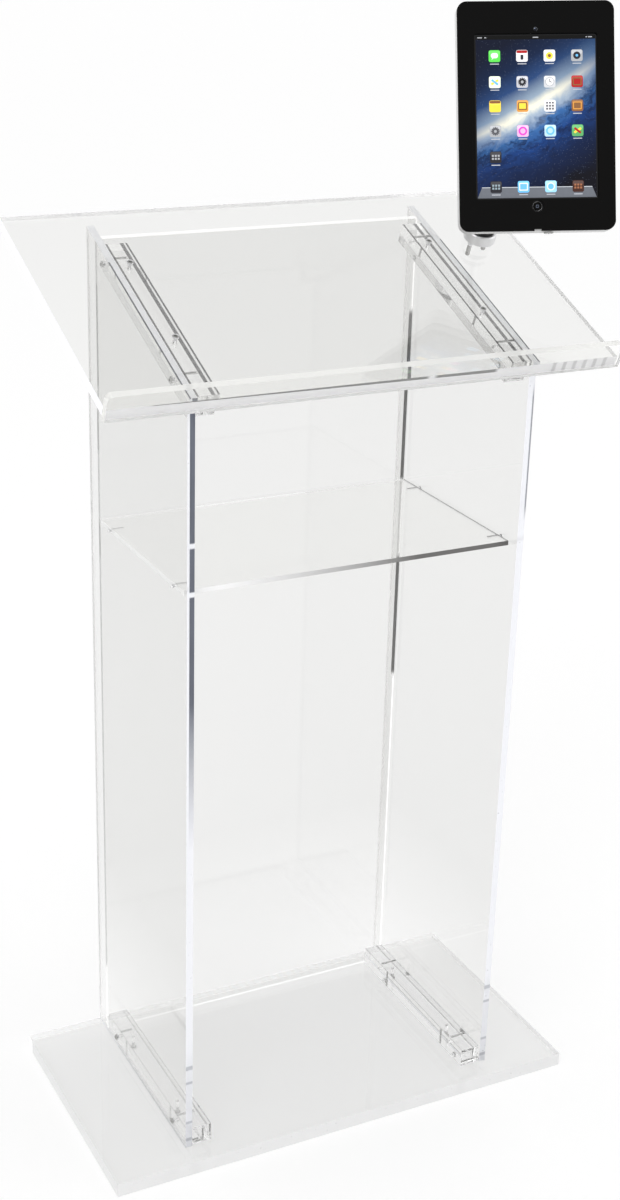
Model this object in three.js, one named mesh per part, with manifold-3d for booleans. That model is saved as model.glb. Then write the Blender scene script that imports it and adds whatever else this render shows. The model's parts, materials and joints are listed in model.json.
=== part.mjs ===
// Clear acrylic presentation lectern with a lockable tablet holder on a swivel arm.
// Millimetres. +Z is up, the speaker stands on the -Y side and the audience on the +Y side.
// The origin is the centre of the base plate's underside.

import * as THREE from 'three';
import Module from 'manifold-3d';
import { mergeVertices } from 'three/addons/utils/BufferGeometryUtils.js';

const wasm = await Module();
wasm.setup();

// ---------------------------------------------------------------- driving dimensions

const GAP = 0.3;                    // clearance between pieces that touch
const SEGMENTS = 24;                // facets round a small turned piece

const base = { width: 674, depth: 352, thickness: 19 };
const side = { spacing: 460, thickness: 9.5, depth: 318, setback: 31, frontHeight: 1032 };
const slope = THREE.MathUtils.degToRad(22.5);
const front = { thickness: 6, setback: 291 };
const shelf = { top: 799, thickness: 6, setback: 19 };
const deck = { width: 668, overhang: 12, length: 377, thickness: 12.7 };
const lip = { width: 672, height: 34, thickness: 9.5, cornerRadius: 8 };
const bar = { width: 28, height: 25, start: 3 };
const bottomBar = { length: 287, crossScrews: [44, 250], uprightScrews: [68, 228] };
const topBar = { length: 300, crossScrews: [48, 280], uprightScrews: [103, 255] };
const shelfScrews = [25, 233];      // along the shelf from its front edge

const barScrew = { shank: 4, head: 8, headHeight: 2.2, reach: 20 };
const uprightScrew = { shank: 4, head: 8, headHeight: 3, reach: 19 };
const shelfScrew = { shank: 3, head: 6, headHeight: 1.8, reach: 15 };

const flange = { radius: 21, height: 14, x: 279, along: 263 };
const flangeScrew = { shank: 6, head: 8.6, headHeight: 4, reach: 27, pitch: 15, turn: 197.5 };
const collar = { radius: 17, height: 9 };
const arm = { radius: 8, bend: 60 };
const fork = { gap: 20, cheek: 6, radius: 13, foot: 18 };
const knuckle = { width: 18.8, radius: 12 };
const tiltBolt = { shank: 6, head: 13, headHeight: 6 };
const turntable = { radius: 36, thickness: 5 };
const bearing = { radius: 18, thickness: 1.5 };
const turntableScrew = { spread: 20, shank: 3.8, head: 7.2, headHeight: 1.4, length: 7.2 };
const holder = {
  width: 194, height: 279, shellDepth: 18, wall: 3, frameThickness: 3.2, cornerRadius: 12,
};
const frameWindow = { width: 152, height: 201, cornerRadius: 3 };
const frameHook = { x: 60, width: 14, reach: 4, near: 3.5, far: 6, room: 0.8 };
const portNotch = { width: 9, height: 2.4 };
const tablet = { width: 186, height: 241, thickness: 9, cornerRadius: 9, glass: 1 };
const homeButton = { radius: 5.5, offset: 109, collar: 7.4 };
const lens = { radius: 3, offset: 106 };
const lock = {
  radius: 5, rim: 6, length: 12, plug: 3.6, x: 15, camReach: 7, camWidth: 5, camThickness: 1.5,
};
const screenYaw = THREE.MathUtils.degToRad(24.5);
const screenLean = THREE.MathUtils.degToRad(18.2);
const screenRoll = THREE.MathUtils.degToRad(2);
const screenCentre = new THREE.Vector3(291.5, -13.8, 1306.9);
const pivotDepth = 44;              // tilt axis behind the glass

// ---------------------------------------------------------------- materials

const material = (color, roughness, metalness, opacity = 1) => () => new THREE.MeshStandardMaterial({
  color, roughness, metalness, opacity, transparent: opacity < 1,
});
const acrylic = material(0xf1f4f5, 0.03, 0, 0.25);
const steel = material(0xb4b6b8, 0.28, 1);
const aluminium = material(0xc9cbce, 0.34, 1);
const blackPlastic = material(0x111214, 0.38, 0);
const whitePlastic = material(0xe9eaea, 0.35, 0);
const rubberBlack = material(0x1b1c1e, 0.7, 0);
const screenGlass = material(0x0a1526, 0.06, 0);

// ---------------------------------------------------------------- solids

function toSolid(geometry) {
  const clean = geometry.clone();
  clean.deleteAttribute('normal');
  clean.deleteAttribute('uv');
  const merged = mergeVertices(clean, 1e-4);
  const corners = [];
  for (let i = 0; i < merged.index.count; i += 3) {
    const [a, b, c] = [0, 1, 2].map((k) => merged.index.getX(i + k));
    if (a !== b && b !== c && c !== a) corners.push(a, b, c);
  }
  return new wasm.Manifold(new wasm.Mesh({
    numProp: 3,
    vertProperties: new Float32Array(merged.attributes.position.array),
    triVerts: new Uint32Array(corners),
  }));
}

function toGeometry(solid) {
  const mesh = solid.getMesh();
  const geometry = new THREE.BufferGeometry();
  geometry.setAttribute('position', new THREE.BufferAttribute(mesh.vertProperties, 3));
  geometry.setIndex(new THREE.BufferAttribute(mesh.triVerts, 1));
  geometry.computeVertexNormals();
  return geometry;
}

function cut(geometry, ...tools) {
  return toGeometry(tools.reduce((solid, tool) => solid.subtract(toSolid(tool)), toSolid(geometry)));
}

function join(geometry, ...others) {
  return toGeometry(others.reduce((solid, other) => solid.add(toSolid(other)), toSolid(geometry)));
}

// Box given by its lowest and highest corners.
function block(x0, y0, z0, x1, y1, z1) {
  const geometry = new THREE.BoxGeometry(x1 - x0, y1 - y0, z1 - z0);
  return geometry.translate((x0 + x1) / 2, (y0 + y1) / 2, (z0 + z1) / 2);
}

// Cylinder along an axis from a start point.
function rod(radius, length, axis, start = [0, 0, 0], segments = SEGMENTS) {
  const geometry = new THREE.CylinderGeometry(radius, radius, length, segments);
  geometry.translate(0, length / 2, 0);
  const turn = new THREE.Quaternion().setFromUnitVectors(
    new THREE.Vector3(0, 1, 0), new THREE.Vector3(...axis).normalize());
  return geometry.applyQuaternion(turn).translate(...start);
}

// Solid of revolution about +Z from [radius, z] points that start and end on the axis.
function turned(points, segments = SEGMENTS) {
  const geometry = new THREE.LatheGeometry(points.map(([r, z]) => new THREE.Vector2(r, z)), segments);
  return geometry.rotateX(Math.PI / 2);
}

// Flat outline with round corners, centred on the origin.
function roundedOutline(width, height, radius) {
  const x = width / 2;
  const y = height / 2;
  const shape = new THREE.Shape();
  shape.moveTo(-x + radius, -y);
  shape.lineTo(x - radius, -y);
  shape.absarc(x - radius, -y + radius, radius, -Math.PI / 2, 0);
  shape.lineTo(x, y - radius);
  shape.absarc(x - radius, y - radius, radius, 0, Math.PI / 2);
  shape.lineTo(-x + radius, y);
  shape.absarc(-x + radius, y - radius, radius, Math.PI / 2, Math.PI);
  shape.lineTo(-x, -y + radius);
  shape.absarc(-x + radius, -y + radius, radius, Math.PI, 1.5 * Math.PI);
  return shape;
}

// Rounded plate in the XY plane from z0 to z1.
function roundedPlate(width, height, radius, z0, z1) {
  const geometry = new THREE.ExtrudeGeometry(roundedOutline(width, height, radius), {
    depth: z1 - z0, bevelEnabled: false, curveSegments: 6,
  });
  return geometry.translate(0, 0, z0);
}

// Outline in the YZ plane, extruded along +X from x0.
function yzProfile(points, x0, width) {
  const shape = new THREE.Shape(points.map(([y, z]) => new THREE.Vector2(y, z)));
  const geometry = new THREE.ExtrudeGeometry(shape, { depth: width, bevelEnabled: false });
  return geometry.applyMatrix4(new THREE.Matrix4().makeBasis(
    new THREE.Vector3(0, 1, 0), new THREE.Vector3(0, 0, 1), new THREE.Vector3(1, 0, 0),
  )).translate(x0, 0, 0);
}

function mesh(parent, name, geometry, makeMaterial) {
  const piece = new THREE.Mesh(geometry, makeMaterial());
  piece.name = name;
  parent.add(piece);
  return piece;
}

// ---------------------------------------------------------------- frames of reference

const lectern = new THREE.Group();

// Stand: y = 0 is the side panels' front edge.
const stand = new THREE.Group();
stand.position.y = -base.depth / 2 + side.setback;
lectern.add(stand);

// Desk: y runs up the slope from the side panels' front edge, z = 0 is the panels' sloped top.
const desk = new THREE.Group();
desk.position.set(0, stand.position.y, side.frontHeight);
desk.rotation.x = slope;
lectern.add(desk);

const innerFace = side.spacing / 2 - side.thickness;
const floorOfStand = base.thickness + GAP;
const sides = [['left', -1], ['right', 1]];

const shankRadius = (screw) => screw.shank / 2;
const holeRadius = (screw) => shankRadius(screw) + GAP;

// ---------------------------------------------------------------- stand

function addBase() {
  const y0 = -side.setback;
  const holes = sides.flatMap(([, s]) => bottomBar.uprightScrews.flatMap((y) => [
    rod(holeRadius(uprightScrew), base.thickness + 2, [0, 0, 1], [s * barCentre, y, -1]),
    rod(uprightScrew.head / 2 + GAP, uprightScrew.headHeight + 1 + 2 * GAP, [0, 0, 1],
      [s * barCentre, y, -1]),
  ]));
  const plate = block(-base.width / 2, y0, 0, base.width / 2, y0 + base.depth, base.thickness);
  mesh(stand, 'base_plate', cut(plate, ...holes), acrylic);
}

const barCentre = innerFace - GAP - bar.width / 2;

function addSidePanels() {
  const rise = Math.tan(slope) * side.depth;
  const outline = [
    [0, floorOfStand], [side.depth, floorOfStand],
    [side.depth, side.frontHeight + rise], [0, side.frontHeight],
  ];
  const crossHoles = (radius, y, z) => rod(radius, side.thickness + 2, [1, 0, 0], [-1, y, z]);
  for (const [label, s] of sides) {
    const panel = yzProfile(outline, 0, side.thickness);
    const holes = [
      ...bottomBar.crossScrews.map((y) => crossHoles(holeRadius(barScrew), y, floorOfStand + bar.height / 2)),
      ...topBar.crossScrews.map((along) => {
        const centre = deskPoint(along, -bar.height / 2);
        return crossHoles(holeRadius(barScrew), centre.y, centre.z);
      }),
      ...shelfScrews.map((y) => crossHoles(holeRadius(shelfScrew), shelf.setback + y,
        shelf.top - shelf.thickness / 2)),
    ];
    const piece = mesh(stand, `side_panel_${label}`, cut(panel, ...holes), acrylic);
    piece.position.x = s > 0 ? innerFace : -side.spacing / 2;
  }
}

// Point in the stand's frame for a place on the desk.
function deskPoint(along, height) {
  return new THREE.Vector3(0,
    along * Math.cos(slope) - height * Math.sin(slope),
    side.frontHeight + along * Math.sin(slope) + height * Math.cos(slope));
}

function addFrontPanel() {
  const top = (y) => side.frontHeight + Math.tan(slope) * y - GAP;
  const y0 = front.setback;
  const y1 = y0 + front.thickness;
  const outline = [[y0, floorOfStand], [y1, floorOfStand], [y1, top(y1)], [y0, top(y0)]];
  const width = 2 * (innerFace - GAP);
  mesh(stand, 'front_panel', yzProfile(outline, -width / 2, width), acrylic);
}

function addShelf() {
  const x = innerFace - GAP;
  const y1 = front.setback - GAP;
  const middle = shelf.top - shelf.thickness / 2;
  const holes = sides.flatMap(([, s]) => shelfScrews.map((y) => rod(
    holeRadius(shelfScrew), shelfScrew.reach + 2, [-s, 0, 0], [s * (x + 1), shelf.setback + y, middle])));
  const plate = block(-x, shelf.setback, shelf.top - shelf.thickness, x, y1, shelf.top);
  mesh(stand, 'shelf', cut(plate, ...holes), acrylic);
}

// Square bar lying along +Y, its top at z = 0, bored for its cross and upright screws.
function barSolid(length, layout, s, uprightFromTop) {
  const crossHole = (y) => rod(holeRadius(barScrew), barScrew.reach + 2, [-s, 0, 0],
    [s * (bar.width / 2 + 1), y, -bar.height / 2]);
  const uprightHole = (y) => rod(holeRadius(uprightScrew), uprightScrew.reach + 2,
    [0, 0, uprightFromTop ? -1 : 1], [0, y, uprightFromTop ? 1 : -bar.height - 1]);
  const body = block(-bar.width / 2, bar.start, -bar.height, bar.width / 2, bar.start + length, 0);
  return cut(body, ...layout.crossScrews.map(crossHole), ...layout.uprightScrews.map(uprightHole));
}

function addBars() {
  for (const [label, s] of sides) {
    const low = mesh(stand, `bottom_bar_${label}`, barSolid(bottomBar.length, bottomBar, s, false), acrylic);
    low.position.set(s * barCentre, 0, floorOfStand + bar.height);
    const high = mesh(desk, `top_bar_${label}`, barSolid(topBar.length, topBar, s, true), acrylic);
    high.position.set(s * barCentre, 0, 0);
  }
}

// Round-headed screw pointing down -Z, the underside of its head at z = 0.
function buttonScrew(screw, length) {
  const head = screw.head / 2;
  const shank = shankRadius(screw);
  const dome = screw.headHeight;
  return turned([
    [0, -length], [shank - 0.5, -length], [shank, -length + 0.8], [shank, 0], [head, 0],
    [head, dome * 0.35], [head * 0.8, dome * 0.8], [head * 0.45, dome], [head * 0.38, dome * 0.35],
    [0, dome * 0.35],
  ], 16);
}

// Cap screw pointing down -Z, the top of its head at z = 0.
function capScrew(screw, length) {
  const head = screw.head / 2;
  const shank = shankRadius(screw);
  return turned([
    [0, -length], [shank - 0.5, -length], [shank, -length + 0.8], [shank, -screw.headHeight],
    [head, -screw.headHeight], [head, -0.4], [head - 0.4, 0], [head * 0.5, 0], [head * 0.42, -1.6],
    [0, -1.6],
  ], 16);
}

function addCrossScrews() {
  const length = side.thickness + GAP + barScrew.reach;
  for (const [label, s] of sides) {
    const place = (parent, name, screw, reach, y, z) => {
      const piece = mesh(parent, name, buttonScrew(screw, reach), steel);
      piece.rotation.y = s * Math.PI / 2;
      piece.position.set(s * (side.spacing / 2 + GAP), y, z);
    };
    bottomBar.crossScrews.forEach((y, i) => place(stand, `bottom_cross_screw_${label}_${i + 1}`,
      barScrew, length, y, floorOfStand + bar.height / 2));
    topBar.crossScrews.forEach((y, i) => place(desk, `top_cross_screw_${label}_${i + 1}`,
      barScrew, length, y, -bar.height / 2));
    shelfScrews.forEach((y, i) => place(stand, `shelf_screw_${label}_${i + 1}`,
      shelfScrew, side.thickness + GAP + shelfScrew.reach,
      shelf.setback + y, shelf.top - shelf.thickness / 2));
  }
}

function addUprightScrews() {
  for (const [label, s] of sides) {
    bottomBar.uprightScrews.forEach((y, i) => {
      const length = base.thickness + uprightScrew.reach - GAP;
      const piece = mesh(stand, `base_screw_${label}_${i + 1}`, capScrew(uprightScrew, length), steel);
      piece.rotation.x = Math.PI;
      piece.position.set(s * barCentre, y, GAP);
    });
    topBar.uprightScrews.forEach((y, i) => {
      const length = deck.thickness + uprightScrew.reach - GAP;
      const piece = mesh(desk, `desk_screw_${label}_${i + 1}`, capScrew(uprightScrew, length), steel);
      piece.position.set(s * barCentre, y, deck.thickness);
    });
  }
}

// ---------------------------------------------------------------- desk

const flangeScrewPlaces = [0, 180].map((extra) => {
  const angle = THREE.MathUtils.degToRad(flangeScrew.turn + extra);
  return [flangeScrew.pitch * Math.cos(angle), flangeScrew.pitch * Math.sin(angle)];
});

function addReadingSurface() {
  const top = GAP + deck.thickness;
  const screwHoles = sides.flatMap(([, s]) => topBar.uprightScrews.flatMap((y) => [
    rod(holeRadius(uprightScrew), deck.thickness + 2, [0, 0, 1], [s * barCentre, y, GAP - 1]),
    rod(uprightScrew.head / 2 + GAP, uprightScrew.headHeight + 1.6, [0, 0, 1],
      [s * barCentre, y, top - uprightScrew.headHeight - 0.6]),
  ]));
  const flangeHoles = flangeScrewPlaces.map(([x, y]) => rod(holeRadius(flangeScrew), deck.thickness + 2,
    [0, 0, 1], [flange.x + x, flange.along - deck.overhang + y, GAP - 1]));
  const plate = block(-deck.width / 2, -deck.overhang, GAP, deck.width / 2, deck.length - deck.overhang, top);
  mesh(desk, 'reading_surface', cut(plate, ...screwHoles, ...flangeHoles), acrylic);
}

function addPaperLip() {
  const x = lip.width / 2;
  const r = lip.cornerRadius;
  const outline = new THREE.Shape();
  outline.moveTo(-x, 0);
  outline.lineTo(x, 0);
  outline.lineTo(x, lip.height - r);
  outline.absarc(x - r, lip.height - r, r, 0, Math.PI / 2);
  outline.lineTo(-x + r, lip.height);
  outline.absarc(-x + r, lip.height - r, r, Math.PI / 2, Math.PI);
  const strip = new THREE.ExtrudeGeometry(outline, {
    depth: lip.thickness, bevelEnabled: false, curveSegments: 8,
  });
  strip.rotateX(Math.PI / 2);
  const piece = mesh(desk, 'paper_lip', toGeometry(toSolid(strip)), acrylic);
  piece.position.set(0, -deck.overhang - GAP, GAP);
}

// ---------------------------------------------------------------- swivel arm

// Arm: z runs up the swivel axis, square to the desk, from the desk's top face.
const armFrame = new THREE.Group();
armFrame.position.set(flange.x, flange.along - deck.overhang, GAP + deck.thickness);
desk.add(armFrame);

function addFlange() {
  const r = flange.radius;
  const h = flange.height;
  const body = turned([[0, GAP], [r - 0.6, GAP], [r, GAP + 0.6], [r, h - 1.5], [r - 1.5, h], [0, h]], 40);
  const spigot = rod(6, 5, [0, 0, 1], [0, 0, h - 0.5]);
  const holes = flangeScrewPlaces.flatMap(([x, y]) => [
    rod(holeRadius(flangeScrew), h + 2, [0, 0, 1], [x, y, -1]),
    rod(flangeScrew.head / 2 + GAP, flangeScrew.headHeight + 2, [0, 0, 1],
      [x, y, h - flangeScrew.headHeight - 1]),
  ]);
  mesh(armFrame, 'arm_flange', cut(join(body, spigot), ...holes), aluminium);
  flangeScrewPlaces.forEach(([x, y], i) => {
    const length = flange.height + flangeScrew.reach;
    const piece = mesh(armFrame, `flange_screw_${i + 1}`, capScrew(flangeScrew, length), steel);
    piece.position.set(x, y, flange.height - 0.6);
  });
}

function addSwivel() {
  const z0 = flange.height + GAP;
  const z1 = z0 + collar.height;
  const r = collar.radius;
  const ring = turned([[0, z0], [r, z0], [r, z1 - 3], [r - 3, z1], [0, z1]], 40);
  mesh(armFrame, 'swivel_collar', cut(ring, rod(6 + GAP, 5, [0, 0, 1], [0, 0, z0 - 0.4])), rubberBlack);
}

// Head: x is the tilt axis, z points up the screen, y points to the back of the screen.
const pivot = screenCentre.clone();
const screenTurn = new THREE.Matrix4().makeRotationZ(-screenYaw)
  .multiply(new THREE.Matrix4().makeRotationX(-screenLean));
const backward = new THREE.Vector3(0, 1, 0).applyMatrix4(screenTurn);
pivot.addScaledVector(backward, pivotDepth);

const head = new THREE.Group();
head.position.copy(pivot);
head.quaternion.setFromRotationMatrix(screenTurn);
lectern.add(head);

// Fork: x lies along the tilt axis and z stands as square to the desk as that allows.
const forkFrame = new THREE.Group();
lectern.updateMatrixWorld(true);
const armUp = new THREE.Vector3(0, 0, 1).transformDirection(armFrame.matrixWorld);
const pinAxis = new THREE.Vector3(1, 0, 0).transformDirection(head.matrixWorld);
const forkAcross = new THREE.Vector3().crossVectors(armUp, pinAxis).normalize();
const forkUp = new THREE.Vector3().crossVectors(pinAxis, forkAcross).normalize();
forkFrame.position.copy(pivot);
forkFrame.quaternion.setFromRotationMatrix(new THREE.Matrix4().makeBasis(pinAxis, forkAcross, forkUp));
lectern.add(forkFrame);

function addFork() {
  const half = fork.gap / 2;
  const depth = fork.radius * 0.8;
  const cheeks = [-1, 1].map((s) => {
    const x = s > 0 ? half : -half - fork.cheek;
    return join(rod(fork.radius, fork.cheek, [1, 0, 0], [x, 0, 0], 32),
      block(x, -depth, -fork.foot, x + fork.cheek, depth, 0));
  });
  const yoke = block(-half - 1, -depth, -fork.foot, half + 1, depth, -fork.foot + 3);
  const bore = rod(tiltBolt.shank / 2 + GAP, fork.gap + 2 * fork.cheek + 4, [1, 0, 0],
    [-half - fork.cheek - 2, 0, 0]);
  mesh(forkFrame, 'head_fork', cut(join(yoke, ...cheeks), bore), blackPlastic);
}

// Cranked tube from the swivel collar up to the fork's foot.
function addArmTube() {
  const toArm = armFrame.matrixWorld.clone().invert();
  const foot = new THREE.Vector3(0, 0, flange.height + collar.height + 2 * GAP);
  const top = pivot.clone().addScaledVector(forkUp, -fork.foot - GAP);
  const bend = top.clone().addScaledVector(forkUp, -arm.bend);
  const path = new THREE.CubicBezierCurve3(foot, foot.clone().add(new THREE.Vector3(0, 0, arm.bend)),
    bend.applyMatrix4(toArm), top.applyMatrix4(toArm));
  const section = new THREE.Shape();
  section.absarc(0, 0, arm.radius, 0, 2 * Math.PI);
  const tube = new THREE.ExtrudeGeometry(section, { steps: 20, curveSegments: 12, extrudePath: path });
  mesh(armFrame, 'arm_tube', toGeometry(toSolid(tube)), aluminium);
}

function addTiltBolt() {
  const half = fork.gap / 2 + fork.cheek;
  const shank = rod(tiltBolt.shank / 2, 2 * half + 10, [1, 0, 0], [-half - GAP, 0, 0]);
  const cap = rod(tiltBolt.head / 2, tiltBolt.headHeight, [-1, 0, 0], [-half - GAP, 0, 0]);
  const socket = rod(2.4, 3, [-1, 0, 0], [-half - GAP - tiltBolt.headHeight + 2, 0, 0], 6);
  mesh(forkFrame, 'tilt_bolt', cut(join(shank, cap), socket), steel);
  const nut = rod(6.2, 6, [1, 0, 0], [half + GAP, 0, 0], 6);
  const nutBore = rod(tiltBolt.shank / 2 + GAP, 8, [1, 0, 0], [half - 0.6, 0, 0]);
  mesh(forkFrame, 'tilt_nut', cut(nut, nutBore), steel);
}

function addKnuckle() {
  const half = knuckle.width / 2;
  const reach = pivotDepth - holder.shellDepth - turntable.thickness - bearing.thickness - 3 * GAP;
  const eye = rod(knuckle.radius, knuckle.width, [1, 0, 0], [-half, 0, 0], 32);
  const neck = block(-half, -reach + 1, -knuckle.radius * 0.9, half, 0, knuckle.radius * 0.9);
  const disc = rod(bearing.radius, 4, [0, 1, 0], [0, -reach, 0], 40);
  const bore = rod(tiltBolt.shank / 2 + GAP, knuckle.width + 2, [1, 0, 0], [-half - 1, 0, 0]);
  const socket = rod(4 + GAP, 6, [0, 1, 0], [0, -reach - 1, 0]);
  mesh(head, 'tilt_knuckle', cut(join(eye, neck, disc), bore, socket), blackPlastic);
}

// ---------------------------------------------------------------- tablet holder

// Screen: x to the right, y up the screen, z out towards the speaker, z = 0 at the tablet's glass.
const screen = new THREE.Group();
screen.position.copy(screenCentre);
screen.quaternion.setFromRotationMatrix(screenTurn.clone()
  .multiply(new THREE.Matrix4().makeRotationX(Math.PI / 2)));
screen.rotateZ(screenRoll);
lectern.add(screen);

const shellBack = -holder.shellDepth;
const holderBottom = -holder.height / 2;
const lockZ = -9;
const camY = holderBottom + lock.length + 1;
const turntableBack = shellBack - GAP - turntable.thickness;
const turntableScrewPlaces = [[-1, -1], [1, -1], [-1, 1], [1, 1]]
  .map(([a, b]) => [a * turntableScrew.spread, b * turntableScrew.spread]);

function addTurntable() {
  const disc = rod(turntable.radius, turntable.thickness, [0, 0, 1], [0, 0, turntableBack], 48);
  const hub = rod(4, 6, [0, 0, -1], [0, 0, turntableBack + 1]);
  const holes = turntableScrewPlaces.map(([x, y]) => rod(holeRadius(turntableScrew),
    turntable.thickness + 2, [0, 0, 1], [x, y, turntableBack - 1]));
  mesh(screen, 'turntable_plate', cut(join(disc, hub), ...holes), aluminium);
  const ring = rod(bearing.radius, bearing.thickness, [0, 0, -1], [0, 0, turntableBack - GAP], 40);
  const washer = cut(ring, rod(4 + GAP, 6, [0, 0, -1], [0, 0, turntableBack + 1]));
  mesh(screen, 'turntable_bearing', washer, rubberBlack);
  turntableScrewPlaces.forEach(([x, y], i) => {
    const piece = mesh(screen, `turntable_screw_${i + 1}`,
      buttonScrew(turntableScrew, turntable.thickness + turntableScrew.length), steel);
    piece.rotation.x = Math.PI;
    piece.position.set(x, y, turntableBack - GAP);
  });
}

function addBackShell() {
  const outer = roundedPlate(holder.width, holder.height, holder.cornerRadius, shellBack, 0);
  const pocket = roundedPlate(tablet.width + 1, tablet.height + 1, tablet.cornerRadius,
    -tablet.thickness - GAP, 2);
  const lockBore = rod(lock.radius + GAP, lock.length + 2, [0, 1, 0], [lock.x, holderBottom - 1, lockZ]);
  const camRoom = block(lock.x - 12, camY - 3, lockZ - 5, lock.x + 8.5, camY + 4, 2);
  const hollow = cut(roundedPlate(176, 226, 6, shellBack + holder.wall, 1 - tablet.thickness),
    block(-32, -32, 2 * shellBack, 32, 32, 2));
  const hookRooms = [-1, 1].map((s) => block(s * frameHook.x - frameHook.width / 2 - frameHook.room,
    holder.height / 2 - frameHook.far - 2 * frameHook.room, -frameHook.reach - frameHook.room,
    s * frameHook.x + frameHook.width / 2 + frameHook.room,
    holder.height / 2 - frameHook.near + frameHook.room, 2));
  const screwHoles = turntableScrewPlaces.map(([x, y]) => rod(holeRadius(turntableScrew), 7.8,
    [0, 0, 1], [x, y, shellBack - 1]));
  mesh(screen, 'back_shell',
    cut(outer, pocket, hollow, lockBore, camRoom, ...hookRooms, ...screwHoles), whitePlastic);
}

function addTablet() {
  const body = roundedPlate(tablet.width, tablet.height, tablet.cornerRadius, -tablet.thickness,
    -tablet.glass - GAP);
  mesh(screen, 'tablet_body', body, aluminium);
  const glass = roundedPlate(tablet.width, tablet.height, tablet.cornerRadius, -tablet.glass, 0);
  const buttonHole = rod(homeButton.radius + GAP, 4, [0, 0, 1], [0, -homeButton.offset, -3], 32);
  mesh(screen, 'tablet_glass', cut(glass, buttonHole), screenGlass);
  const r = homeButton.radius;
  const button = turned([[0, 0], [r, 0], [r, 0.55], [r * 0.7, 0.4], [0, 0.3]], 32);
  const piece = mesh(screen, 'home_button', button, blackPlastic);
  piece.position.set(0, -homeButton.offset, -0.75);
}

// Black frame over the tablet's margin. It tips open about two hooks in its top edge,
// and a foot on its lower edge goes under the lock's cam.
function addFrontFrame() {
  const plate = roundedPlate(holder.width, holder.height, holder.cornerRadius, GAP,
    GAP + holder.frameThickness);
  const opening = roundedPlate(frameWindow.width, frameWindow.height, frameWindow.cornerRadius, -2, 9);
  const buttonHole = rod(homeButton.collar, 12, [0, 0, 1], [0, -homeButton.offset, -2], 32);
  const lensHole = rod(lens.radius, 12, [0, 0, 1], [0, lens.offset, -2]);
  const stem = block(lock.x - 11, camY - 0.7, lockZ - 4.2, lock.x - 9.4, camY + 3, 1);
  const foot = block(lock.x - 10, camY - 0.7, lockZ - 4.2, lock.x - 3.6, camY + 3, lockZ - 3);
  const hooks = [-1, 1].map((s) => block(s * frameHook.x - frameHook.width / 2,
    holder.height / 2 - frameHook.far, -frameHook.reach,
    s * frameHook.x + frameHook.width / 2, holder.height / 2 - frameHook.near, 1));
  const notch = block(-portNotch.width / 2, holderBottom - 1, -1,
    portNotch.width / 2, holderBottom + portNotch.height, 9);
  const frame = cut(join(plate, stem, foot, ...hooks), opening, buttonHole, lensHole, notch);
  mesh(screen, 'front_frame', frame, blackPlastic);
}

// Cam lock in the holder's lower edge, drawn with its key slot upright and its cam clear of the tongue.
function addLock() {
  const barrel = rod(lock.radius, lock.length, [0, 1, 0], [lock.x, holderBottom, lockZ]);
  const rim = rod(lock.rim, 1.6, [0, -1, 0], [lock.x, holderBottom - GAP, lockZ], 32);
  const sleeve = rod(lock.radius, 1, [0, -1, 0], [lock.x, holderBottom + 0.2, lockZ]);
  const bore = rod(lock.plug + GAP, lock.length + 6, [0, 1, 0], [lock.x, holderBottom - 3, lockZ]);
  mesh(screen, 'lock_barrel', cut(join(barrel, sleeve, rim), bore), steel);
  const plugStart = holderBottom - 1.9;
  const plug = rod(lock.plug, camY - 0.4 - plugStart, [0, 1, 0], [lock.x, plugStart, lockZ]);
  const keyway = block(lock.x - 0.6, plugStart - 1, lockZ - 2.4,
    lock.x + 0.6, plugStart + 8, lockZ + 2.4);
  mesh(screen, 'lock_plug', cut(plug, keyway), steel);
  const y0 = camY - 0.1;
  const plate = join(rod(lock.plug, lock.camThickness, [0, 1, 0], [lock.x, y0, lockZ]),
    block(lock.x - lock.camWidth / 2, y0, lockZ,
      lock.x + lock.camWidth / 2, y0 + lock.camThickness, lockZ + lock.camReach));
  mesh(screen, 'lock_cam', plate, steel);
}

addBase();
addSidePanels();
addFrontPanel();
addShelf();
addBars();
addCrossScrews();
addUprightScrews();
addReadingSurface();
addPaperLip();
addFlange();
addSwivel();
addFork();
addArmTube();
addTiltBolt();
addKnuckle();
addTurntable();
addBackShell();
addTablet();
addFrontFrame();
addLock();

export default lectern;
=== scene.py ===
"""Clear acrylic lectern with a tablet on an arm: materials, display, floor, light and camera."""

import json
import math

import bmesh
import bpy
from mathutils import Matrix, Vector


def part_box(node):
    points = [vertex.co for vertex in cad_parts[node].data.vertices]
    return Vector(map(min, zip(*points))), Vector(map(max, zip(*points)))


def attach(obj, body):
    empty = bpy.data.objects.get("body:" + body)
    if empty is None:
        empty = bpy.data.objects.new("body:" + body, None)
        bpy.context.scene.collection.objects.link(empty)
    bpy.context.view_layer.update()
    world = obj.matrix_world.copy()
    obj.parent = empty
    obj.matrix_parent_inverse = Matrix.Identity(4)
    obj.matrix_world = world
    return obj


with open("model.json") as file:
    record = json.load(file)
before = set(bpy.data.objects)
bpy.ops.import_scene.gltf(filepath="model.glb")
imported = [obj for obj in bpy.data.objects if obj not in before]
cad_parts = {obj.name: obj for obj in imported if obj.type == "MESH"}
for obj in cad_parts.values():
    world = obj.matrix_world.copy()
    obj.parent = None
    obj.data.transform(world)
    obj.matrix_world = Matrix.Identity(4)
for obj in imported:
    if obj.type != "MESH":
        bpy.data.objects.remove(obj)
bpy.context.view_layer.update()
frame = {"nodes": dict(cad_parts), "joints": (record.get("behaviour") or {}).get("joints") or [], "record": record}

nodes = frame["nodes"]
joints = {joint["name"]: joint for joint in frame["joints"]}
scene = bpy.context.scene
MM = 0.001


# ---------------------------------------------------------------- camera

CAMERA_PLACE = (-1.0044, -1.9603, 1.5891)
CAMERA_YAW = 27.236
CAMERA_PITCH = -21.86
CAMERA_ROLL = 1.677
FOCAL_LENGTH = 55.07
SENSOR_WIDTH = 36


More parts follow.
